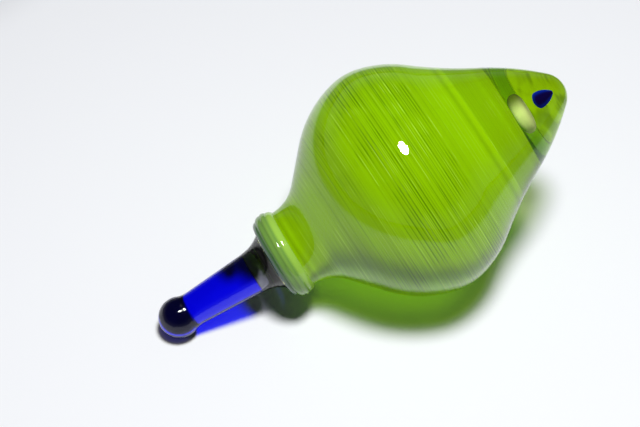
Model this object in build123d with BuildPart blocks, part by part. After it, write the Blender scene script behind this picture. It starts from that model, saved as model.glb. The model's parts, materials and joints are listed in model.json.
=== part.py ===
from build123d import *
import os
from math import asin, atan2, cos, degrees, hypot, radians, sin

# A blown glass bulb closed by a ground glass stopper. It lies on the stopper's ball end and on
# a small rest ground on the belly, with its long axis in the XZ plane, rising towards the tip.
# Stations are measured along that axis from the centre of the ball, and radii out from it.

# stopper, from the ball end up
ball_radius = 4.15
ball_join_station = 1.9
waist_station, waist_radius = 4.3, 3.5
flare_length, flare_radius = 4.4, 4.3
core_setback = 1.5
core_corner_radius = 1.2
shoulder_overhang = 0.2
plug_length = 8.6
plug_corner_radius = 1.0

# mouth and ribbed lip, with each wrap's width and the height of the groove before it
mouth_station = 21.6
wrap_widths = (0.9, 1.3, 1.3, 1.3)
groove_heights = (0.25, 1.2, 1.85, 1.7)
wrap_crown = 0.22
joint_taper = 0.05
seat_clearance = 0.05
shoulder_gap = 0.2

# outside of the bulb from the neck to the tip, with turns outwards positive
neck_radius = 8.15
throat_radius, throat_turn = 8.0, 48.0
flank_length = 8.0
shoulder_radius, shoulder_turn = 22.7, -35.0
belly_radius, belly_turn = 12.5, -26.5
fall_radius, fall_turn = 22.3, -25.0
hollow_radius, hollow_turn = 81.0, 10.0
nose_radius, nose_turn = 52.8, -15.0
rest_depth = 0.3

# wall layers from the outside in, with their ends measured back from the tip
casing_thickness = 1.0
cane_thickness = 0.8
lining_thickness = 0.7
cane_setback = 12.7
lining_setback = 14.9

# drops of coloured glass sealed in the nose, measured back from the tip
bead_setback, bead_radius = 7.9, 1.15
bead_point_length, bead_point_radius = 3.7, 0.2
pearl_setback, pearl_radius = 12.4, 2.8
pearl_half_thickness, pearl_edge_radius = 1.5, 1.3
pearl_drop = 0.65

foot_station = mouth_station - shoulder_gap
flare_station = foot_station - flare_length
core_end_station = foot_station - core_setback
plug_end_station = foot_station + plug_length
neck_station = mouth_station + sum(wrap_widths)

cane_inset = casing_thickness
lining_inset = cane_inset + cane_thickness
chamber_inset = lining_inset + lining_thickness
seat_radius = neck_radius - cane_inset
chamber_bends = [(shoulder_radius, shoulder_turn), (belly_radius, belly_turn), (fall_radius, fall_turn)]
body_bends = chamber_bends + [(hollow_radius, hollow_turn), (nose_radius, nose_turn)]


def direction(heading):
    return Vector(cos(radians(heading)), sin(radians(heading)))


def trace_wall(inset, bends):
    # the bends of one wall surface from the neck to its round end on the axis
    point = Vector(neck_station, neck_radius - inset)
    course = [(point, 0, throat_radius + inset, throat_turn)]
    point = point + (throat_radius + inset) * (direction(90) - direction(throat_turn + 90))
    point = point + flank_length * direction(throat_turn)
    heading = throat_turn
    for radius, turn in bends:
        side = 1 if turn > 0 else -1
        reach = radius + side * inset
        course.append((point, heading, reach, turn))
        point = point + side * reach * (direction(heading + 90) - direction(heading + turn + 90))
        heading = heading + turn
    course.append((point, heading, point.Y / cos(radians(heading)), -90 - heading))
    return course


def draw_wall(inset, bends):
    # draws the surface and returns its first and last points
    course = trace_wall(inset, bends)
    first = course[0][0]
    last = first
    for start, heading, radius, turn in course:
        if (start - last).length > 1e-6:
            Line(last, start)
        bend = JernArc(start, direction(heading), radius, turn)
        last = bend @ 1
    return first, Vector(last.X, 0)


def bore_radius(station):
    return neck_radius - chamber_inset + joint_taper * (neck_station - station)


# the long axis slopes so that the ball touches the floor and the shoulder sinks by the rest's depth
shoulder_start = trace_wall(0, body_bends)[1][0]
shoulder_centre = shoulder_start + shoulder_radius * direction(throat_turn - 90)
shoulder_bearing = degrees(atan2(shoulder_centre.Y, shoulder_centre.X))
shoulder_reach = hypot(shoulder_centre.X, shoulder_centre.Y)
axis_slope = shoulder_bearing + degrees(asin((shoulder_radius - ball_radius - rest_depth) / shoulder_reach))

# the tip's round end gives the overall length, and the origin is under its middle
tip_start, tip_heading, tip_radius, _ = trace_wall(0, body_bends)[-1]
tip_centre_station = tip_start.X + tip_radius * sin(radians(tip_heading))
tip_station = tip_centre_station + tip_radius
ball_x = -(tip_centre_station * cos(radians(axis_slope)) + tip_radius - ball_radius) / 2

# each piece is made with the axis level along X, and laid on the floor at the end
upward = Vector(sin(radians(axis_slope)), 0, cos(radians(axis_slope)))
floor_plane = Plane(origin=-ball_radius * upward, z_dir=upward)
lying = Location((ball_x, 0, ball_radius), (0, -axis_slope, 0))

# ball end of the stopper
with BuildPart() as stopper_ball:
    with BuildSketch(Plane.XZ):
        with BuildLine():
            join_radius = (ball_radius**2 - ball_join_station**2) ** 0.5
            ThreePointArc((-ball_radius, 0), (0, ball_radius), (ball_join_station, join_radius))
            Polyline((ball_join_station, join_radius), (ball_join_station, 0), (-ball_radius, 0))
        make_face()
    revolve(axis=Axis.X)

# blue rod between the ball and the flare, with a soft waist behind the ball
with BuildPart() as stopper_stem:
    with BuildSketch(Plane.XZ):
        with BuildLine():
            join = Vector(ball_join_station, join_radius)
            waist = Vector(waist_station, waist_radius)
            flare = Vector(flare_station, flare_radius)
            rod_heading = degrees(atan2(flare_radius - waist_radius, flare_station - waist_station))
            Spline(join, waist, tangents=(direction(-20), direction(rod_heading)))
            Line(waist, flare)
            Polyline(flare, (core_end_station, flare_radius), (core_end_station, 0))
            Polyline((core_end_station, 0), (ball_join_station, 0), join)
        make_face()
    revolve(axis=Axis.X)
    core_rim = edges().filter_by(GeomType.CIRCLE).sort_by(Axis.X)[-1]
    fillet(core_rim, core_corner_radius)

# clear gather that flares from the rod to the shoulder over the mouth
with BuildPart() as stopper_flare:
    with BuildSketch(Plane.XZ):
        with BuildLine():
            foot = Vector(foot_station, bore_radius(mouth_station) + shoulder_overhang)
            TangentArc(flare, foot, tangent=direction(rod_heading))
            Polyline(foot, (foot_station, 0), (flare_station, 0), flare)
        make_face()
    revolve(axis=Axis.X)
    add(stopper_stem.part, mode=Mode.SUBTRACT)

# ground taper that fills the neck
with BuildPart() as stopper_plug:
    with BuildSketch(Plane.XZ):
        with BuildLine():
            Polyline(
                (foot_station, 0),
                (foot_station, bore_radius(foot_station) - seat_clearance),
                (plug_end_station, bore_radius(plug_end_station) - seat_clearance),
                (plug_end_station, 0),
                close=True,
            )
        make_face()
    revolve(axis=Axis.X)
    plug_rim = edges().filter_by(GeomType.CIRCLE).sort_by(Axis.X)[-1]
    fillet(plug_rim, plug_corner_radius)

# clear outer casing from the neck to the tip, ground flat where it rests on the floor
with BuildPart() as bulb_casing:
    with BuildSketch(Plane.XZ):
        with BuildLine():
            outer_first, outer_last = draw_wall(0, body_bends)
            inner_first, inner_last = draw_wall(cane_inset, body_bends)
            Line(outer_first, inner_first)
            Line(outer_last, inner_last)
        make_face()
    revolve(axis=Axis.X)
    split(bisect_by=floor_plane, keep=Keep.TOP)

# green cane layer from the mouth to the clear nose
with BuildPart() as cane_layer:
    with BuildSketch(Plane.XZ):
        with BuildLine():
            outer_first, outer_last = draw_wall(cane_inset, body_bends)
            inner_first, inner_last = draw_wall(lining_inset, body_bends)
            Line(outer_first, (mouth_station, outer_first.Y))
            Polyline((mouth_station, outer_first.Y), (mouth_station, inner_first.Y), inner_first)
            Line(outer_last, inner_last)
        make_face()
    revolve(axis=Axis.X)
    split(bisect_by=Plane.YZ.offset(tip_station - cane_setback), keep=Keep.BOTTOM)

# clear lining round the chamber, bored to the stopper's taper in the neck
with BuildPart() as inner_lining:
    with BuildSketch(Plane.XZ):
        with BuildLine():
            outer_first, outer_last = draw_wall(lining_inset, body_bends)
            inner_first, inner_last = draw_wall(chamber_inset, chamber_bends)
            mouth_rim = (mouth_station, bore_radius(mouth_station))
            Polyline(outer_first, (mouth_station, outer_first.Y), mouth_rim, inner_first)
            Line(outer_last, inner_last)
        make_face()
    revolve(axis=Axis.X)
    split(bisect_by=Plane.YZ.offset(tip_station - lining_setback), keep=Keep.BOTTOM)

# blue drop on the axis of the nose, blunt behind and pointed towards the tip
with BuildPart() as nose_bead:
    with BuildSketch(Plane.XZ):
        with BuildLine():
            bead_back = (tip_station - bead_setback - bead_radius, 0)
            bead_crown = Vector(tip_station - bead_setback, bead_radius)
            bead_point = Vector(bead_crown.X + bead_point_length, bead_point_radius)
            RadiusArc(bead_back, bead_crown, bead_radius)
            TangentArc(bead_crown, bead_point, tangent=direction(0))
            Polyline(bead_point, (bead_point.X, 0), bead_back)
        make_face()
    revolve(axis=Axis.X)

# flattened pale drop behind it, square to the axis and a little below it
with BuildPart() as nose_pearl:
    with BuildSketch(Plane.YZ.offset(tip_station - pearl_setback)):
        with Locations((0, -pearl_drop)):
            Circle(pearl_radius)
    extrude(amount=pearl_half_thickness, both=True)
    fillet(edges().filter_by(GeomType.CIRCLE), pearl_edge_radius)

# clear gather that closes the nose behind the casing, round the two drops
with BuildPart() as nose_gather:
    with BuildSketch(Plane.XZ):
        with BuildLine():
            outer_first, outer_last = draw_wall(cane_inset, body_bends)
            Polyline(outer_last, (outer_first.X, 0), outer_first)
        make_face()
    revolve(axis=Axis.X)
    split(bisect_by=Plane.YZ.offset(tip_station - lining_setback), keep=Keep.TOP)
    for sealed in (cane_layer, nose_bead, nose_pearl):
        add(sealed.part, mode=Mode.SUBTRACT)

# rounded wraps of trailed glass that make the ribbed lip
wraps = []
start = Vector(mouth_station, seat_radius + groove_heights[0])
for width, end_height in zip(wrap_widths, groove_heights[1:] + (casing_thickness,)):
    end = Vector(start.X + width, seat_radius + end_height)
    crown = (start + end) / 2 + wrap_crown * (end - start).normalized().rotate(Axis.Z, 90)
    with BuildPart() as wrap:
        with BuildSketch(Plane.XZ):
            with BuildLine():
                ThreePointArc(start, crown, end)
                Polyline(end, (end.X, seat_radius), (start.X, seat_radius), start)
            make_face()
        revolve(axis=Axis.X)
    wraps.append(wrap)
    start = end

named_parts = {
    "bulb_casing": bulb_casing,
    "cane_layer": cane_layer,
    "inner_lining": inner_lining,
    "nose_gather": nose_gather,
    "nose_bead": nose_bead,
    "nose_pearl": nose_pearl,
    "stopper_ball": stopper_ball,
    "stopper_stem": stopper_stem,
    "stopper_flare": stopper_flare,
    "stopper_plug": stopper_plug,
}
for index, wrap in enumerate(wraps):
    named_parts[f"lip_wrap_{index + 1}"] = wrap

os.makedirs("parts", exist_ok=True)
for name, piece in named_parts.items():
    piece.part.locate(lying)
    piece.part.label = name
    export_step(piece.part, f"parts/{name}.step")

print("axis slope", round(axis_slope, 3), "ball x", round(ball_x, 3))
print("tip station", round(tip_station, 3))
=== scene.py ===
import json
import math

import bmesh
import bpy
from mathutils import Matrix, Vector


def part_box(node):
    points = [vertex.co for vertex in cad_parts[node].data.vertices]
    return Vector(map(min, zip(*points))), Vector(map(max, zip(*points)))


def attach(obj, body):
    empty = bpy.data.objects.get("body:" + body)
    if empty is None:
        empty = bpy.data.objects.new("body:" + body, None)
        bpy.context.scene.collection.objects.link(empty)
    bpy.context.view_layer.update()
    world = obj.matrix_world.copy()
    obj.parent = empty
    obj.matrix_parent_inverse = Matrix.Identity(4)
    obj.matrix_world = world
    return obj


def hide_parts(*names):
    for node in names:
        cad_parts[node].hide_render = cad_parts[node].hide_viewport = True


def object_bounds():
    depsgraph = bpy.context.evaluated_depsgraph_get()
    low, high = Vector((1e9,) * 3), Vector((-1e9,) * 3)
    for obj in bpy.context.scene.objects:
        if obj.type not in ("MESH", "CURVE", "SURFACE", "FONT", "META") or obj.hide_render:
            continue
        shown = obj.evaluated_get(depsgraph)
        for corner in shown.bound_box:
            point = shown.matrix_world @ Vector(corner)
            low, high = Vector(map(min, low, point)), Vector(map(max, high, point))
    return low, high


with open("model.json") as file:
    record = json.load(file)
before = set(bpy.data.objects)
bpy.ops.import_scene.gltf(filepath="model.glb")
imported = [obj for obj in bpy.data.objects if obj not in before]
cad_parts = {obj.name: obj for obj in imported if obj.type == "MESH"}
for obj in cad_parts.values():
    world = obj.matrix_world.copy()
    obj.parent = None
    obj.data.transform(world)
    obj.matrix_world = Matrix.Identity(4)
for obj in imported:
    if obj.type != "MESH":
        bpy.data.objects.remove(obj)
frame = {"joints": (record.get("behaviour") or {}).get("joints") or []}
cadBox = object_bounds()

mm = 0.001

# the long axis runs from the centre of the ball end towards the tip
ballLow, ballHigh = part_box("stopper_ball")
ballRadius = (ballHigh.y - ballLow.y) / 2
ballCentre = Vector((ballLow.x + ballRadius, 0, ballRadius))
axisVector = -Vector(frame["joints"][0]["axis"]).normalized()
axisSlope = math.asin(axisVector.z)
axisFrame = Matrix.Translation(ballCentre) @ Matrix.Rotation(-axisSlope, 4, "Y")

view = {
    "turnedAway": 23.5,         # degrees that the long axis turns from the view, seen from above
    "elevation": 49.5,
    "distance": 0.350,
    "lens": 100.0,
    "sensor": 36.0,
    "nearest": 10 * mm,
    "aimStation": 34.4 * mm,    # point of the axis below the middle of the view
    "aimRise": 3.15 * mm,       # and how far above it the camera looks
}


def placeCamera():
    az = math.radians(90 + view["turnedAway"])
    el = math.radians(view["elevation"])
    toCamera = Vector((math.cos(az) * math.cos(el), -math.sin(az) * math.cos(el), math.sin(el)))
    across = axisVector.cross(toCamera).normalized()
    aim = ballCentre + axisVector * view["aimStation"] - across * view["aimRise"]
    data = bpy.data.cameras.new("viewCamera")
    data.lens = view["lens"]
    data.sensor_width = view["sensor"]
    data.clip_start = view["nearest"]
    camera = bpy.data.objects.new("viewCamera", data)
    camera.location = aim + toCamera * view["distance"]
    camera.rotation_euler = toCamera.to_track_quat("Z", "Y").to_euler()
    bpy.context.scene.collection.objects.link(camera)
    bpy.context.scene.camera = camera
    return across


acrossAxis = placeCamera()      # points down and to the right in the view
print("camera placed")


def newMaterial(name):
    material = bpy.data.materials.new(name)
    material.use_nodes = True
    tree = material.node_tree
    tree.nodes.clear()
    return material, tree, tree.nodes.new("ShaderNodeOutputMaterial")


def addNode(tree, kind, settings=None, **sockets):
    node = tree.nodes.new("ShaderNode" + kind)
    for key, value in (settings or {}).items():
        setattr(node, key, value)
    for key, value in sockets.items():
        plug(tree, node.inputs[key], value)
    return node


def plug(tree, socket, value):
    if isinstance(value, bpy.types.NodeSocket):
        tree.links.new(value, socket)
    else:
        socket.default_value = value


def combine(tree, operation, *values):
    node = tree.nodes.new("ShaderNodeMath")
    node.operation = operation
    for socket, value in zip(node.inputs, values):
        plug(tree, socket, value)
    return node.outputs[0]


def mixShader(tree, share, first, second):
    node = tree.nodes.new("ShaderNodeMixShader")
    for socket, value in zip(node.inputs, (share, first, second)):
        plug(tree, socket, value)
    return node.outputs[0]


def lightRays(tree):
    # 1 for the rays that carry light to a surface, which pass clear glass without bending
    path = tree.nodes.new("ShaderNodeLightPath")
    return combine(tree, "MAXIMUM", path.outputs["Is Shadow Ray"], path.outputs["Is Diffuse Ray"])


def noiseAlong(tree, along, pitch, detail, offset=0.0):
    # irregular rings of about one pitch
    where = combine(tree, "MULTIPLY_ADD", along, 1 / pitch, offset)
    return addNode(tree, "TexNoise", {"noise_dimensions": "1D"}, W=where, Scale=1.0, Detail=detail).outputs[0]


def easeBetween(tree, value, low, high, first=0.0, last=1.0):
    # a smooth step of value, from first at low to last at high
    node = addNode(tree, "MapRange", {"interpolation_type": "SMOOTHSTEP"}, Value=value)
    for key, number in (("From Min", low), ("From Max", high), ("To Min", first), ("To Max", last)):
        node.inputs[key].default_value = number
    return node.outputs[0]


def easeLine(tree, value, low, high):
    node = addNode(tree, "MapRange", Value=value)
    node.inputs["From Min"].default_value, node.inputs["From Max"].default_value = low, high
    return node.outputs[0]


def mixColour(tree, share, first, second, blend="MIX"):
    node = tree.nodes.new("ShaderNodeMix")
    node.data_type = "RGBA"
    node.blend_type = blend
    plug(tree, node.inputs["Factor"], share)
    plug(tree, [i for i in node.inputs if i.name == "A" and i.type == "RGBA"][0], first)
    plug(tree, [i for i in node.inputs if i.name == "B" and i.type == "RGBA"][0], second)
    return [o for o in node.outputs if o.type == "RGBA"][0]


def ringRamp(tree, along, rings):
    # looks the station up in a list of rings, each a station in millimetres and a colour
    first, last = rings[0][0], rings[-1][0]
    ramp = addNode(tree, "ValToRGB", Fac=easeLine(tree, along, first * mm, last * mm))
    stops = ramp.color_ramp.elements
    for index, (ring, colour) in enumerate(rings):
        place = (ring - first) / (last - first)
        stop = stops[0] if index == 0 else stops[-1] if index == len(rings) - 1 else stops.new(place)
        stop.position, stop.color = place, colour
    return ramp.outputs["Color"]


def backFace(tree):
    return tree.nodes.new("ShaderNodeNewGeometry").outputs["Backfacing"]


def rimShare(tree):
    # how nearly a ray from outside grazes the surface, and 0 for a ray that leaves the glass
    facing = addNode(tree, "LayerWeight", Blend=0.5).outputs["Facing"]
    outside = combine(tree, "SUBTRACT", 1.0, backFace(tree))
    return combine(tree, "MULTIPLY", facing, outside)


def alongAxis(tree):
    # object coordinates turned so that X is the station along the bulb's axis
    texture = tree.nodes.new("ShaderNodeTexCoord")
    mapping = tree.nodes.new("ShaderNodeMapping")
    mapping.inputs["Rotation"].default_value = (0, axisSlope, 0)
    mapping.inputs["Location"].default_value = -(Matrix.Rotation(axisSlope, 3, "Y") @ ballCentre)
    tree.links.new(texture.outputs["Object"], mapping.inputs["Vector"])
    return mapping.outputs["Vector"]


def acrossPlace(tree, place):
    # distance from the axis towards the lower right of the view
    across = addNode(tree, "VectorMath", {"operation": "DOT_PRODUCT"})
    tree.links.new(place, across.inputs[0])
    across.inputs[1].default_value = axisFrame.to_3x3().inverted() @ acrossAxis
    return across.outputs["Value"]


def endInMatt(tree, output, colour):
    body = addNode(tree, "BsdfDiffuse", Color=colour)
    tree.links.new(body.outputs[0], output.inputs["Surface"])


glass = {
    "ior": 1.50,
    "groundRoughness": 0.3,
    "lampTint": (0.955, 0.975, 0.96, 1),
    "rimShade": (0.05, 0.055, 0.06, 1),     # light that glances off the rim and misses the table
}


def clearGlassMaterial(name, roughness=0.0):
    material, tree, output = newMaterial(name)
    body = addNode(tree, "BsdfGlass", Color=(1, 1, 1, 1), Roughness=roughness, IOR=glass["ior"])
    tint = mixColour(tree, rimShare(tree), glass["lampTint"], glass["rimShade"])
    clear = addNode(tree, "BsdfTransparent", Color=tint)
    surface = mixShader(tree, lightRays(tree), body.outputs[0], clear.outputs[0])
    tree.links.new(surface, output.inputs["Surface"])
    return material


def fusedMaterial():
    # where two pieces of glass are melted together there is no surface to see
    material, tree, output = newMaterial("fusedJoint")
    clear = addNode(tree, "BsdfTransparent", Color=(1, 1, 1, 1))
    tree.links.new(clear.outputs[0], output.inputs["Surface"])
    return material


glassColours = {    # the colour that is left after a way through the glass, and the tint of its shadow
    "cobalt": {"tint": (0.10, 0.12, 0.97, 1), "density": 1000.0, "shade": (1, 1, 1, 1)},
    "ballBlue": {"tint": (0.20, 0.15, 0.97, 1), "density": 800.0, "shade": (0.68, 0.68, 0.30, 1)},
    "flareGrey": {"tint": (0.45, 0.45, 0.53, 1), "density": 420.0, "shade": (1, 1, 1, 1)},
}


def solidGlassMaterial(name, colour, roughness=0.0):
    material, tree, output = newMaterial(name)
    body = addNode(tree, "BsdfGlass", Color=(1, 1, 1, 1), Roughness=roughness, IOR=glass["ior"])
    clear = addNode(tree, "BsdfTransparent", Color=colour["shade"])
    surface = mixShader(tree, lightRays(tree), body.outputs[0], clear.outputs[0])
    tree.links.new(surface, output.inputs["Surface"])
    absorb = addNode(tree, "VolumeAbsorption", Color=colour["tint"], Density=colour["density"])
    tree.links.new(absorb.outputs[0], output.inputs["Volume"])
    return material


cane = {
    "lean": 0.040,                      # how far the rings lean out of square, per unit across
    "wander": 0.20 * mm,                # how far they stray from true
    "wanderScale": 45.0,
    "finePitch": 0.26 * mm,             # dark hair lines
    "fineCut": (0.50, 0.64),            # noise level at which a dark line starts and is full
    "fadeScale": 120.0,                 # the dark lines fade in patches, to a share of their depth
    "fadeCut": (0.38, 0.60, 0.3),
    "threadPitch": 0.30 * mm,           # pale hair lines
    "threadCut": (0.60, 0.72),
    "fleckScale": 210.0,                # and the pale ones likewise
    "fleckCut": (0.42, 0.60, 0.15),
    "broadPitch": 3.0 * mm,             # slow change of shade
    "green": (0.31, 0.535, 0.0, 1),
    "lemon": (0.36, 0.585, 0.0, 1),
    "lemonFrom": (0.98, 1.22),          # band brightness at which green turns to lemon
    "dark": (0.09, 0.22, 0.0, 1),
    "pale": (0.62, 0.84, 0.10, 1),
    "unevenness": 0.12,
    "shade": 0.85,                      # depth of the dark hair lines
    "gleam": 0.75,                      # strength of the pale ones
    "spread": 0.9,                      # light that spreads inside the layer evens out its shading
    "paintedUnderLight": 1.95,                  # painted light: how much brighter the layer's colour is made where it faces down
    "paintedUnderLightReach": (-0.6, 0.4),      # rise of its normal, from where the painted light is full to where it ends
    "paintedInsideLight": 1.15,                 # painted light: how much brighter the colour of the face towards the chamber is made
    "through": 0.4,                     # share of the light that passes on into the layer
    "inwardTint": (0.87, 0.90, 0.60, 1),    # light that one face lets in to the chamber
    "outwardTint": (0.46, 0.64, 0.03, 1),   # and out again towards the table
    # station along the axis in millimetres, and brightness, depth of dark lines and strength of pale lines
    "bands": [(26.6, 1.02, 0.0, 0.3), (27.2, 0.80, 0.2, 0.0), (27.9, 1.10, 0.2, 0.4), (28.9, 0.88, 0.3, 0.2),
              (31.0, 0.97, 0.4, 0.6), (36.5, 1.00, 0.3, 0.5), (39.4, 0.90, 0.5, 0.2), (45.0, 1.02, 0.7, 0.5),
              (51.0, 1.03, 1.0, 0.7), (59.5, 1.02, 1.0, 0.6), (63.0, 1.02, 0.4, 0.3), (67.2, 1.10, 0.2, 0.1),
              (67.8, 0.95, 0.1, 0.0), (68.4, 1.10, 0.1, 0.2), (69.0, 1.12, 0.0, 0.8), (69.4, 0.92, 0.1, 0.1),
              (76.0, 0.92, 0.2, 0.2)],
}


def bandValues(tree, along, bands):
    # brightness, depth of dark lines and strength of pale lines at a station
    most = max(band[1] for band in bands)
    rings = [(band[0], (band[1] / most, band[2], band[3], 1)) for band in bands]
    parts = addNode(tree, "SeparateColor", Color=ringRamp(tree, along, rings))
    return combine(tree, "MULTIPLY", parts.outputs[0], most), parts.outputs[1], parts.outputs[2]


def ringPlace(tree):
    # station along the axis with the lean and wander of the wound canes
    place = alongAxis(tree)
    station = addNode(tree, "SeparateXYZ", Vector=place).outputs["X"]
    leaning = combine(tree, "MULTIPLY_ADD", acrossPlace(tree, place), -cane["lean"], station)
    drift = addNode(tree, "TexNoise", Vector=place, Scale=cane["wanderScale"], Detail=1.0)
    wander = combine(tree, "MULTIPLY", combine(tree, "SUBTRACT", drift.outputs[0], 0.5), cane["wander"])
    return place, combine(tree, "ADD", leaning, wander)


def caneMaterial(name, inside=False):
    material, tree, output = newMaterial(name)
    place, along = ringPlace(tree)
    bright, darkLines, paleLines = bandValues(tree, along, cane["bands"])
    broad = noiseAlong(tree, along, cane["broadPitch"], 2.0)
    fine = noiseAlong(tree, along, cane["finePitch"], 1.0, offset=90.0)
    thread = noiseAlong(tree, along, cane["threadPitch"], 1.0, offset=40.0)
    fade = addNode(tree, "TexNoise", Vector=place, Scale=cane["fadeScale"], Detail=1.5)
    fleck = addNode(tree, "TexNoise", Vector=place, Scale=cane["fleckScale"], Detail=0.0)
    base = mixColour(tree, easeBetween(tree, bright, *cane["lemonFrom"]), cane["green"], cane["lemon"])
    dark = combine(tree, "MULTIPLY", easeBetween(tree, fine, *cane["fineCut"]), darkLines)
    dark = combine(tree, "MULTIPLY", dark, easeBetween(tree, fade.outputs[0], *cane["fadeCut"]))
    colour = mixColour(tree, combine(tree, "MULTIPLY", dark, cane["shade"]), base, cane["dark"])
    pale = combine(tree, "MULTIPLY", easeBetween(tree, thread, *cane["threadCut"]), paleLines)
    pale = combine(tree, "MULTIPLY", pale, easeBetween(tree, fleck.outputs[0], *cane["fleckCut"]))
    colour = mixColour(tree, combine(tree, "MULTIPLY", pale, cane["gleam"]), colour, cane["pale"])
    change = combine(tree, "SUBTRACT", broad, 0.5)
    level = combine(tree, "MULTIPLY_ADD", change, 2 * cane["unevenness"], bright)
    geometry = tree.nodes.new("ShaderNodeNewGeometry")
    if inside:
        # painted light: the face towards the chamber gets a brighter colour
        level = combine(tree, "MULTIPLY", level, cane["paintedInsideLight"])
    else:
        # painted light: the colour is made brighter where the face turns down, in place of light glowing
        # through the layer
        rise = addNode(tree, "SeparateXYZ", Vector=geometry.outputs["Normal"]).outputs["Z"]
        paintedUnderGlow = easeBetween(tree, rise, *cane["paintedUnderLightReach"], cane["paintedUnderLight"])
        level = combine(tree, "MULTIPLY", level, paintedUnderGlow)
    grey = addNode(tree, "CombineColor")
    for socket in grey.inputs:
        tree.links.new(level, socket)
    colour = mixColour(tree, 1.0, colour, grey.outputs[0], blend="MULTIPLY")
    face = addNode(tree, "BsdfDiffuse", Color=colour)
    if not inside:
        raised = addNode(tree, "VectorMath", {"operation": "ADD"})
        tree.links.new(geometry.outputs["Normal"], raised.inputs[0])
        raised.inputs[1].default_value = (0, 0, cane["spread"])
        even = addNode(tree, "VectorMath", {"operation": "NORMALIZE"})
        tree.links.new(raised.outputs[0], even.inputs[0])
        tree.links.new(even.outputs[0], face.inputs["Normal"])
    back = addNode(tree, "BsdfTranslucent", Color=colour)
    body = mixShader(tree, cane["through"], face.outputs[0], back.outputs[0])
    path = tree.nodes.new("ShaderNodeLightPath")
    # light gets one tint on its way into the chamber and the other on its way out
    front, behind = ("inwardTint", "outwardTint") if inside else ("outwardTint", "inwardTint")
    tint = mixColour(tree, geometry.outputs["Backfacing"], cane[front], cane[behind])
    passing = addNode(tree, "BsdfTransparent", Color=tint)
    surface = mixShader(tree, path.outputs["Is Shadow Ray"], body, passing.outputs[0])
    tree.links.new(surface, output.inputs["Surface"])
    return material


drop = {
    # painted light and shade on the bead: lit blue at its rim and near-black in its core
    "beadPaintedDarkCore": (0.003, 0.0, 0.07, 1), "beadPaintedLitRim": (0.0, 0.02, 0.62, 1),
    "beadPaintedRimReach": (0.05, 0.55),               # how far the painted light of the rim comes in, from grazing to facing
    "pearlPaintedShade": (0.13, 0.17, 0.02, 1), "pearlPaintedLight": (0.80, 0.84, 0.42, 1),
    "pearlPaintedReach": (-2.2 * mm, 0.4 * mm),    # painted light and shade: the pearl turns from dark olive to pale between these, across the axis
}


def beadMaterial():
    material, tree, output = newMaterial("blueDropGlass")
    # painted light and shade: the matte drop is lighter blue where seen edge-on and near-black where seen
    # face-on
    facing = addNode(tree, "LayerWeight", Blend=0.5).outputs["Facing"]
    share = easeBetween(tree, facing, *drop["beadPaintedRimReach"])
    endInMatt(tree, output, mixColour(tree, share, drop["beadPaintedDarkCore"], drop["beadPaintedLitRim"]))
    return material


def pearlMaterial():
    material, tree, output = newMaterial("palePaintedLightAndShade")
    # painted shade on the pearl's upper left and painted light towards its lower right
    share = easeBetween(tree, acrossPlace(tree, alongAxis(tree)), *drop["pearlPaintedReach"])
    endInMatt(tree, output, mixColour(tree, share, drop["pearlPaintedShade"], drop["pearlPaintedLight"]))
    return material


noseGlass = {
    "green": (0.50, 0.78, 0.0, 1), "olive": (0.26, 0.44, 0.0, 1),
    "streaks": (60.0, 650.0, 650.0),        # how quickly the streaks change along and across the axis
    "streakCut": (0.42, 0.68),
    "through": 0.4,
    "tint": (0.74, 0.84, 0.50, 1),          # light that passes one side of the nose
}


def noseMaterial():
    # the front lets the view in, and the far wall shows the drawn-out ends of the canes
    material, tree, output = newMaterial("clearNoseGlass")
    stretch = addNode(tree, "VectorMath", {"operation": "MULTIPLY"})
    tree.links.new(alongAxis(tree), stretch.inputs[0])
    stretch.inputs[1].default_value = noseGlass["streaks"]
    streak = addNode(tree, "TexNoise", Scale=1.0, Detail=2.0)
    tree.links.new(stretch.outputs[0], streak.inputs["Vector"])
    share = easeBetween(tree, streak.outputs[0], *noseGlass["streakCut"])
    colour = mixColour(tree, share, noseGlass["green"], noseGlass["olive"])
    front = addNode(tree, "BsdfDiffuse", Color=colour)
    back = addNode(tree, "BsdfTranslucent", Color=colour)
    wallShade = mixShader(tree, noseGlass["through"], front.outputs[0], back.outputs[0])
    clear = addNode(tree, "BsdfTransparent", Color=(1, 1, 1, 1))
    tinted = addNode(tree, "BsdfTransparent", Color=noseGlass["tint"])
    body = mixShader(tree, backFace(tree), clear.outputs[0], wallShade)
    surface = mixShader(tree, lightRays(tree), body, tinted.outputs[0])
    tree.links.new(surface, output.inputs["Surface"])
    return material


wrapColoursAndPaintedLight = {
    "roughness": 0.05,
    # stations in millimetres and colours: partly the wraps' own greens with dark lines between the wraps,
    # partly painted light; the lighter rings at 24.3 mm and from 25.3 mm are painted highlights, and the
    # blue-grey rim wrap is a painted reflection of a pale veil and of the blue plug seen through clear glass
    "rings": [(21.6, (0.10, 0.17, 0.125, 1)), (22.1, (0.10, 0.17, 0.11, 1)), (22.4, (0.05, 0.14, 0.03, 1)),
              (23.2, (0.17, 0.34, 0.06, 1)), (23.75, (0.13, 0.26, 0.05, 1)), (24.3, (0.20, 0.38, 0.06, 1)),
              (24.85, (0.15, 0.30, 0.055, 1)), (25.3, (0.31, 0.55, 0.07, 1)), (26.4, (0.31, 0.55, 0.07, 1))],
}


def wrapMaterial():
    material, tree, output = newMaterial("greenWrapGlass")
    station = addNode(tree, "SeparateXYZ", Vector=alongAxis(tree)).outputs["X"]
    body = addNode(tree, "BsdfPrincipled", Roughness=wrapColoursAndPaintedLight["roughness"], IOR=glass["ior"])
    # the colours by station hold painted highlights and a painted reflection on the rim wrap
    tree.links.new(ringRamp(tree, station, wrapColoursAndPaintedLight["rings"]), body.inputs["Base Color"])
    tree.links.new(body.outputs[0], output.inputs["Surface"])
    return material


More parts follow.
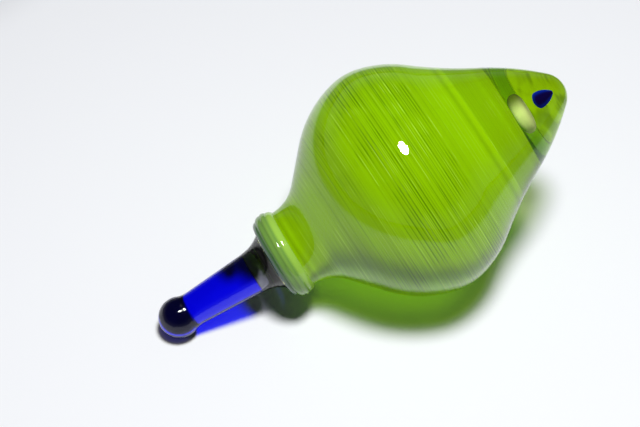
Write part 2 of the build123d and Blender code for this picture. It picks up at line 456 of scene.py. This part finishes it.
casingGlass = clearGlassMaterial("clearCasingGlass")
liningGlass = clearGlassMaterial("clearLiningGlass")
groundGlass = clearGlassMaterial("groundGlass", glass["groundRoughness"])
fused = fusedMaterial()
caneGlass = caneMaterial("greenCaneGlass")
caneInside = caneMaterial("greenCaneInside", inside=True)
blueGlass = solidGlassMaterial("cobaltGlass", glassColours["cobalt"])
blueGround = solidGlassMaterial("cobaltGroundGlass", glassColours["cobalt"], glass["groundRoughness"])
blueBall = solidGlassMaterial("cobaltBallGlass", glassColours["ballBlue"])
flareGlass = solidGlassMaterial("greyFlareGlass", glassColours["flareGrey"])
beadGlass = beadMaterial()
pearlGlass = pearlMaterial()
noseClear = noseMaterial()
wrapGlass = wrapMaterial()
print("materials made")

# an outline has the station along the axis as X and the radius as Z, until its piece is laid in place

build = {
    "turns": 144,           # faces round a piece
    "step": 0.4 * mm,       # longest edge of a bend
    "film": 0.02 * mm,      # hair-thin gap that keeps two fused faces apart
    "merge": 0.001 * mm,
    "sharpAngle": 35.0,
}

wall = {    # stations, radii and thicknesses in millimetres, and each bend as a radius and a turn in degrees
    "mouth": 21.6, "neck": 26.4, "neckRadius": 8.15,
    "throat": (8.0, 48.0), "flank": 8.0,
    "body": [(22.7, -35.0), (12.5, -26.5), (22.3, -25.0), (81.0, 10.0), (52.8, -15.0)],
    "chamberBends": 3,
    "casing": 1.0, "canes": 0.8, "lining": 0.7,
    "caneEnd": 75.605, "liningEnd": 73.405,
    "boreTaper": 0.05,
}
film = build["film"] / mm
caneInset = wall["casing"]
liningInset = caneInset + wall["canes"]
chamberInset = liningInset + wall["lining"]
seatRadius = wall["neckRadius"] - caneInset


def boreRadius(station):
    return wall["neckRadius"] - chamberInset + wall["boreTaper"] * (wall["neck"] - station)


outline = bmesh.new()   # the outline being drawn, which is emptied when it is spun


def pointAt(station, radius):
    return outline.verts.new((station * mm, 0, radius * mm))


def heading2d(degrees):
    return Vector((math.cos(math.radians(degrees)), 0, math.sin(math.radians(degrees))))


def drawLine(start, station, radius, parts=1):
    end = Vector((station * mm, 0, radius * mm))
    step = (end - start.co) / parts
    for _ in range(parts):
        made = bmesh.ops.extrude_vert_indiv(outline, verts=[start])
        start = made["verts"][0]
        start.co += step
    return start


def drawBend(start, heading, radius, turn):
    # an arc that leaves start along heading, outwards where turn is positive
    side = 1 if turn > 0 else -1
    centre = start.co + side * radius * mm * heading2d(heading + 90)
    steps = max(8, int(abs(math.radians(turn)) * radius * mm / build["step"]))
    made = bmesh.ops.spin(outline, geom=[start], cent=centre, axis=(0, -1, 0), angle=math.radians(turn),
                          steps=steps, space=Matrix.Identity(4))
    return [item for item in made["geom_last"] if isinstance(item, bmesh.types.BMVert)][0]


def drawWall(inset, bends):
    # one surface of the wall, from the neck to its round end on the axis
    radius, turn = wall["throat"]
    point = first = pointAt(wall["neck"], wall["neckRadius"] - inset)
    point = drawBend(point, 0, radius + inset, turn)
    heading = turn
    flank = point.co / mm + wall["flank"] * heading2d(heading)
    point = drawLine(point, flank.x, flank.z, parts=16)
    for radius, turn in bends:
        point = drawBend(point, heading, radius + inset if turn > 0 else radius - inset, turn)
        heading += turn
    closing = point.co.z / mm / math.cos(math.radians(heading))
    point = drawBend(point, heading, closing, -90 - heading)
    point.co.z = 0
    return first


def spinRun(mesh, finish=0):
    # spins an outline through a quarter turn, repeats the quarter, and adds it to the piece with one finish
    bmesh.ops.spin(outline, geom=outline.verts[:] + outline.edges[:], cent=(0, 0, 0), axis=(1, 0, 0),
                   angle=math.pi / 2, steps=build["turns"] // 4)
    bmesh.ops.spin(outline, geom=outline.verts[:] + outline.edges[:] + outline.faces[:], cent=(0, 0, 0),
                   axis=(1, 0, 0), angle=math.pi * 3 / 2, steps=3, use_duplicate=True)
    for face in outline.faces:
        face.material_index = finish
    data = bpy.data.meshes.new("run")
    outline.to_mesh(data)
    outline.clear()
    mesh.from_mesh(data)
    bpy.data.meshes.remove(data)


def closeUp(mesh, recalculate=True):
    # welds the runs of a piece into one closed skin
    bmesh.ops.remove_doubles(mesh, verts=mesh.verts, dist=build["merge"])
    bmesh.ops.dissolve_degenerate(mesh, edges=mesh.edges, dist=build["merge"])
    if recalculate:
        bmesh.ops.recalc_face_normals(mesh, faces=mesh.faces)


def finishPiece(mesh, name, materials, body, nodes, recalculate=True, grind=None):
    closeUp(mesh, recalculate)
    bmesh.ops.transform(mesh, matrix=axisFrame, verts=mesh.verts)
    if grind is not None:
        cut = bmesh.ops.bisect_plane(mesh, geom=mesh.verts[:] + mesh.edges[:] + mesh.faces[:],
                                     plane_co=(0, 0, 0), plane_no=(0, 0, -1), clear_outer=True)
        rim = [item for item in cut["geom_cut"] if isinstance(item, bmesh.types.BMEdge)]
        flat = bmesh.ops.edgeloop_fill(mesh, edges=rim)["faces"]
        for face in flat:
            face.material_index = grind
        bmesh.ops.recalc_face_normals(mesh, faces=mesh.faces)
    for face in mesh.faces:
        face.smooth = True
    for edge in mesh.edges:
        if len(edge.link_faces) == 2 and edge.calc_face_angle(0) > math.radians(build["sharpAngle"]):
            edge.smooth = False
    data = bpy.data.meshes.new(name)
    mesh.to_mesh(data)
    openEdges = sum(1 for edge in mesh.edges if len(edge.link_faces) != 2)
    mesh.free()
    for material in materials:
        data.materials.append(material)
    piece = bpy.data.objects.new(name, data)
    bpy.context.scene.collection.objects.link(piece)
    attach(piece, body)
    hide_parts(*nodes)
    print("made", name, len(data.polygons), "faces,", openEdges, "open edges")
    return piece


# places and sizes in millimetres, with a drop's bends and ends as radii
nose = {"backStep": 1.19}       # how much wider the gather is at its back than at the end of the canes
bead = {"back": 79.255, "radius": 1.15, "pointLength": 3.7, "pointRadius": 0.2}
pearl = {"station": 75.905, "radius": 2.8, "halfThickness": 1.5, "edge": 1.3, "drop": 0.65}
lip = {"widths": [0.9, 1.3, 1.3, 1.3], "grooves": [0.25, 1.2, 1.85, 1.7], "crown": 0.22}


def makeCasing():
    mesh = bmesh.new()
    drawWall(0, wall["body"])
    spinRun(mesh)
    neck = drawWall(caneInset - film, wall["body"])
    drawLine(neck, wall["neck"], wall["neckRadius"])
    spinRun(mesh, 1)
    finishPiece(mesh, "clear_casing", [casingGlass, fused, groundGlass], "bulb", ["bulb_casing"],
                grind=2)


def keepBelow(mesh, station):
    bmesh.ops.bisect_plane(mesh, geom=mesh.verts[:] + mesh.edges[:] + mesh.faces[:],
                           plane_co=(station * mm, 0, 0), plane_no=(1, 0, 0), clear_outer=True)


def keepAbove(mesh, station):
    bmesh.ops.bisect_plane(mesh, geom=mesh.verts[:] + mesh.edges[:] + mesh.faces[:],
                           plane_co=(station * mm, 0, 0), plane_no=(1, 0, 0), clear_inner=True)


def rimLoops(mesh):
    return [edge for edge in mesh.edges if len(edge.link_faces) == 1]


def makeCanes():
    mesh = bmesh.new()
    outer = drawWall(caneInset, wall["body"])
    drawLine(outer, wall["mouth"], seatRadius, parts=8)
    spinRun(mesh)
    inner = drawWall(liningInset, wall["body"])
    end = drawLine(inner, wall["mouth"], wall["neckRadius"] - liningInset, parts=8)
    drawLine(end, wall["mouth"], seatRadius)
    spinRun(mesh, 1)
    closeUp(mesh)
    keepBelow(mesh, wall["caneEnd"])
    bmesh.ops.bridge_loops(mesh, edges=rimLoops(mesh))
    finishPiece(mesh, "green_canes", [caneGlass, caneInside], "bulb", ["cane_layer"])


def makeLining():
    mesh = bmesh.new()
    outer = drawWall(liningInset + film, wall["body"])
    drawLine(outer, wall["mouth"], wall["neckRadius"] - liningInset - film, parts=8)
    spinRun(mesh, 1)
    closeUp(mesh)
    keepBelow(mesh, wall["liningEnd"])
    farRim = [edge for edge in rimLoops(mesh) if edge.verts[0].co.x > wall["neck"] * mm]
    bmesh.ops.holes_fill(mesh, edges=farRim, sides=0)
    for face in mesh.faces:
        face.material_index = 1
    inner = drawWall(chamberInset, wall["body"][:wall["chamberBends"]])
    end = drawLine(inner, wall["mouth"], boreRadius(wall["mouth"]), parts=8)
    drawLine(end, wall["mouth"], wall["neckRadius"] - liningInset - film)
    spinRun(mesh)
    finishPiece(mesh, "clear_lining", [liningGlass, fused], "bulb", ["inner_lining"])


def drawBead(skin=0.0):
    # blunt behind, drawn out to a point towards the tip
    point = pointAt(bead["back"] - skin, 0)
    point = drawBend(point, 90, bead["radius"] + skin, -90)
    slope = math.degrees(math.atan2(bead["pointRadius"] - bead["radius"], bead["pointLength"]))
    chord = math.hypot(bead["pointRadius"] - bead["radius"], bead["pointLength"])
    point = drawBend(point, 0, chord / 2 / math.sin(math.radians(-slope)) + skin, 2 * slope)
    drawLine(point, point.co.x / mm, 0)


def drawPearl(skin=0.0):
    half, edge = pearl["halfThickness"] + skin, pearl["edge"] + skin
    point = pointAt(pearl["station"] - half, 0)
    point = drawLine(point, pearl["station"] - half, pearl["radius"] - pearl["edge"], parts=3)
    point = drawBend(point, 90, edge, -90)
    point = drawLine(point, pearl["station"] + half - edge, pearl["radius"] + skin)
    point = drawBend(point, 0, edge, -90)
    drawLine(point, pearl["station"] + half, 0, parts=3)


def lowerPearl(mesh, verts):
    bmesh.ops.translate(mesh, vec=(0, 0, -pearl["drop"] * mm), verts=verts)


def makeNose():
    # the gather is melted into the casing, canes and lining all round, and holds the two drops
    mesh = bmesh.new()
    drawWall(caneInset + film, wall["body"])
    spinRun(mesh)
    closeUp(mesh)
    keepAbove(mesh, wall["caneEnd"] + film)
    step = max(vert.co.z for edge in rimLoops(mesh) for vert in edge.verts) / mm
    shoulder = pointAt(wall["caneEnd"] + film, step)
    shoulder = drawLine(shoulder, wall["caneEnd"] + film, step - wall["canes"])
    shoulder = drawLine(shoulder, wall["liningEnd"] + film, step - wall["canes"] + nose["backStep"])
    drawLine(shoulder, wall["liningEnd"] + film, 0, parts=6)
    spinRun(mesh)
    closeUp(mesh)
    solid = set(mesh.faces)
    drawPearl(skin=film)
    spinRun(mesh, 1)
    lowerPearl(mesh, [vert for vert in mesh.verts if not any(face in solid for face in vert.link_faces)])
    drawBead(skin=film)
    spinRun(mesh, 1)
    closeUp(mesh)
    bmesh.ops.reverse_faces(mesh, faces=[face for face in mesh.faces if face not in solid])
    finishPiece(mesh, "clear_nose", [noseClear, fused], "bulb", ["nose_gather"],
                recalculate=False)


def makeDrops():
    mesh = bmesh.new()
    drawBead()
    spinRun(mesh)
    finishPiece(mesh, "blue_drop", [beadGlass], "bulb", ["nose_bead"])
    mesh = bmesh.new()
    drawPearl()
    spinRun(mesh)
    lowerPearl(mesh, mesh.verts)
    finishPiece(mesh, "pale_drop", [pearlGlass], "bulb", ["nose_pearl"])


def makeWraps():
    start = Vector((wall["mouth"], 0, seatRadius + lip["grooves"][0]))
    heights = lip["grooves"][1:] + [wall["casing"]]
    for index, (width, height) in enumerate(zip(lip["widths"], heights)):
        mesh = bmesh.new()
        end = Vector((start.x + width, 0, seatRadius + height))
        chord, slope = (end - start).length, math.degrees(math.atan2(end.z - start.z, width))
        half = 2 * math.degrees(math.atan(2 * lip["crown"] / chord))
        point = pointAt(start.x, start.z)
        point = drawBend(point, slope + half, chord / 2 / math.sin(math.radians(half)), -2 * half)
        point = drawLine(point, end.x, seatRadius + film)
        point = drawLine(point, start.x, seatRadius + film)
        drawLine(point, start.x, start.z)
        spinRun(mesh)
        finishPiece(mesh, "green_wrap_%d" % (index + 1), [wrapGlass], "bulb", ["lip_wrap_%d" % (index + 1)])
        start = end


makeCasing()
makeCanes()
makeLining()
makeNose()
makeDrops()
makeWraps()

stopper = {     # stations and radii in millimetres
    "ballJoin": 1.9,
    "ballLeave": -20,           # degrees at which the rod leaves the ball
    "waist": (4.3, 3.5),
    "flare": (17.0, 4.3),
    "foot": 21.4,
    "core": 19.9, "coreCorner": 1.2,
    "lipOverhang": 0.2,
    "plugEnd": 30.0, "plugCorner": 1.0, "clearance": 0.05,
}


def makeBall():
    mesh = bmesh.new()
    radius = ballRadius / mm
    joinAngle = math.degrees(math.asin(stopper["ballJoin"] / radius))
    start = pointAt(-radius, 0)
    end = drawBend(start, 90, radius, -90 - joinAngle)
    spinRun(mesh)
    join = pointAt(stopper["ballJoin"], 0)
    drawLine(join, stopper["ballJoin"], math.sqrt(radius ** 2 - stopper["ballJoin"] ** 2), parts=3)
    spinRun(mesh, 1)
    finishPiece(mesh, "blue_ball", [blueBall, fused], "stopper", ["stopper_ball"])


def easedLine(start, leaving, end, arriving, parts=14):
    # a curve from start to end that leaves and arrives along the two headings
    reach = math.hypot(end[0] * mm - start.co.x, end[1] * mm - start.co.z)
    first, last = start.co.copy(), Vector((end[0] * mm, 0, end[1] * mm))
    leave, arrive = heading2d(leaving) * reach, heading2d(arriving) * reach
    for i in range(1, parts + 1):
        t = i / parts
        place = ((2 * t**3 - 3 * t**2 + 1) * first + (t**3 - 2 * t**2 + t) * leave
                 + (3 * t**2 - 2 * t**3) * last + (t**3 - t**2) * arrive)
        start = drawLine(start, place.x / mm, place.z / mm)
    return start


def makeStem():
    mesh = bmesh.new()
    radius = ballRadius / mm
    join = stopper["ballJoin"] + film
    rodHeading = math.degrees(math.atan2(stopper["flare"][1] - stopper["waist"][1],
                                         stopper["flare"][0] - stopper["waist"][0]))
    point = pointAt(join, math.sqrt(radius ** 2 - join ** 2))
    point = easedLine(point, stopper["ballLeave"], stopper["waist"], rodHeading)
    drawLine(point, *stopper["flare"], parts=30)
    spinRun(mesh)
    point = pointAt(stopper["flare"][0], stopper["flare"][1])
    point = drawLine(point, stopper["core"] - stopper["coreCorner"], stopper["flare"][1], parts=4)
    point = drawBend(point, 0, stopper["coreCorner"], -90)
    drawLine(point, stopper["core"], 0, parts=3)
    end = pointAt(join, 0)
    drawLine(end, join, math.sqrt(radius ** 2 - join ** 2), parts=3)
    spinRun(mesh, 1)
    finishPiece(mesh, "blue_stem", [blueGlass, fused], "stopper", ["stopper_stem"])


def makeFlare():
    mesh = bmesh.new()
    station, radius = stopper["flare"]
    footRadius = boreRadius(wall["mouth"]) + stopper["lipOverhang"]
    rodHeading = math.degrees(math.atan2(radius - stopper["waist"][1], station - stopper["waist"][0]))
    rise, run = footRadius - radius - film, stopper["foot"] - station
    turn = 2 * (math.degrees(math.atan2(rise, run)) - rodHeading)
    point = pointAt(station, radius + film)
    point = drawBend(point, rodHeading, math.hypot(rise, run) / 2 / math.sin(math.radians(turn / 2)), turn)
    drawLine(point, stopper["foot"], boreRadius(stopper["foot"]) - stopper["clearance"])
    spinRun(mesh)
    point = pointAt(stopper["foot"], boreRadius(stopper["foot"]) - stopper["clearance"])
    drawLine(point, stopper["foot"], 0, parts=4)
    point = pointAt(station, radius + film)
    point = drawLine(point, stopper["core"] - stopper["coreCorner"], radius + film, parts=4)
    point = drawBend(point, 0, stopper["coreCorner"] + film, -90)
    drawLine(point, stopper["core"] + film, 0, parts=4)
    spinRun(mesh, 1)
    finishPiece(mesh, "clear_flare", [flareGlass, fused], "stopper", ["stopper_flare"])


def makePlug():
    mesh = bmesh.new()
    foot = stopper["foot"] + film
    point = pointAt(foot, 0)
    drawLine(point, foot, boreRadius(foot) - stopper["clearance"], parts=4)
    spinRun(mesh, 1)
    taper = math.degrees(math.atan(wall["boreTaper"]))
    corner = stopper["plugCorner"]
    cornerStart = stopper["plugEnd"] - corner * (1 - math.sin(math.radians(taper)))
    point = pointAt(foot, boreRadius(foot) - stopper["clearance"])
    point = drawLine(point, cornerStart, boreRadius(cornerStart) - stopper["clearance"], parts=16)
    point = drawBend(point, -taper, corner, -90 + taper)
    drawLine(point, stopper["plugEnd"], 0, parts=4)
    spinRun(mesh)
    finishPiece(mesh, "blue_plug", [blueGround, fused], "stopper", ["stopper_plug"])


makeBall()
makeStem()
makeFlare()
makePlug()

studio = {
    "tableColour": (0.85, 0.865, 0.895, 1),
    "tableReach": 1.2,
    "tableSides": 96,
    "tableGap": 0.03 * mm,          # the bulb stands just clear of the table
    "paintedPoolReach": (0.105, 0.150),   # painted pool of light: the pale table fades to a painted dark between these distances
    # painted dark beyond the pool of light
    "paintedDarkBeyondPool": (0.17, 0.173, 0.18, 1),
    "lampDirection": (0.011, -0.15, 0.988),
    "lampDistance": 0.50,
    "lampWidth": 0.114,
    "lampPower": 2.97,
    "skyRise": (0.05, 0.35),        # height, as a share of the sky, between its low and its high colour
    "skyHigh": (0.03, 0.03, 0.033, 1),
    "skyLow": (0.19, 0.193, 0.20, 1),
}


def makeTable():
    mesh = bmesh.new()
    bmesh.ops.create_circle(mesh, cap_ends=True, radius=studio["tableReach"], segments=studio["tableSides"])
    bmesh.ops.translate(mesh, vec=(0, 0, -studio["tableGap"]), verts=mesh.verts)
    data = bpy.data.meshes.new("tableTop")
    mesh.to_mesh(data)
    mesh.free()
    material, tree, output = newMaterial("tableTop")
    texture = tree.nodes.new("ShaderNodeTexCoord")
    away = addNode(tree, "VectorMath", {"operation": "LENGTH"})
    tree.links.new(texture.outputs["Object"], away.inputs[0])
    # painted pool of light: pale near the bulb, painted dark further out
    fade = easeBetween(tree, away.outputs["Value"], *studio["paintedPoolReach"])
    endInMatt(tree, output, mixColour(tree, fade, studio["tableColour"], studio["paintedDarkBeyondPool"]))
    data.materials.append(material)
    table = bpy.data.objects.new("tableTop", data)
    bpy.context.scene.collection.objects.link(table)


def makeLamp():
    data = bpy.data.lights.new("keyLamp", "AREA")
    data.shape = "DISK"
    data.size = studio["lampWidth"]
    data.energy = studio["lampPower"]
    lamp = bpy.data.objects.new("keyLamp", data)
    away = Vector(studio["lampDirection"]).normalized()
    low, high = cadBox
    lamp.location = (low + high) / 2 + away * studio["lampDistance"]
    lamp.rotation_euler = away.to_track_quat("Z", "Y").to_euler()
    bpy.context.scene.collection.objects.link(lamp)


def makeSurroundings():
    world = bpy.data.worlds.new("studio")
    bpy.context.scene.world = world
    world.use_nodes = True
    tree = world.node_tree
    tree.nodes.clear()
    output = tree.nodes.new("ShaderNodeOutputWorld")
    texture = tree.nodes.new("ShaderNodeTexCoord")
    height = addNode(tree, "SeparateXYZ", Vector=texture.outputs["Generated"]).outputs["Z"]
    ramp = addNode(tree, "ValToRGB", Fac=height)
    stops = ramp.color_ramp.elements
    stops[0].position, stops[0].color = studio["skyRise"][0], studio["skyLow"]
    stops[1].position, stops[1].color = studio["skyRise"][1], studio["skyHigh"]
    light = addNode(tree, "Background", Color=ramp.outputs["Color"], Strength=1.0)
    tree.links.new(light.outputs[0], output.inputs["Surface"])


makeTable()
makeLamp()
makeSurroundings()
scene = bpy.context.scene
scene.view_settings.view_transform = "Standard"
scene.cycles.transparent_max_bounces = 32   # a light ray crosses many fused faces
scene.cycles.max_bounces = 20
scene.cycles.transmission_bounces = 20
print("studio made")
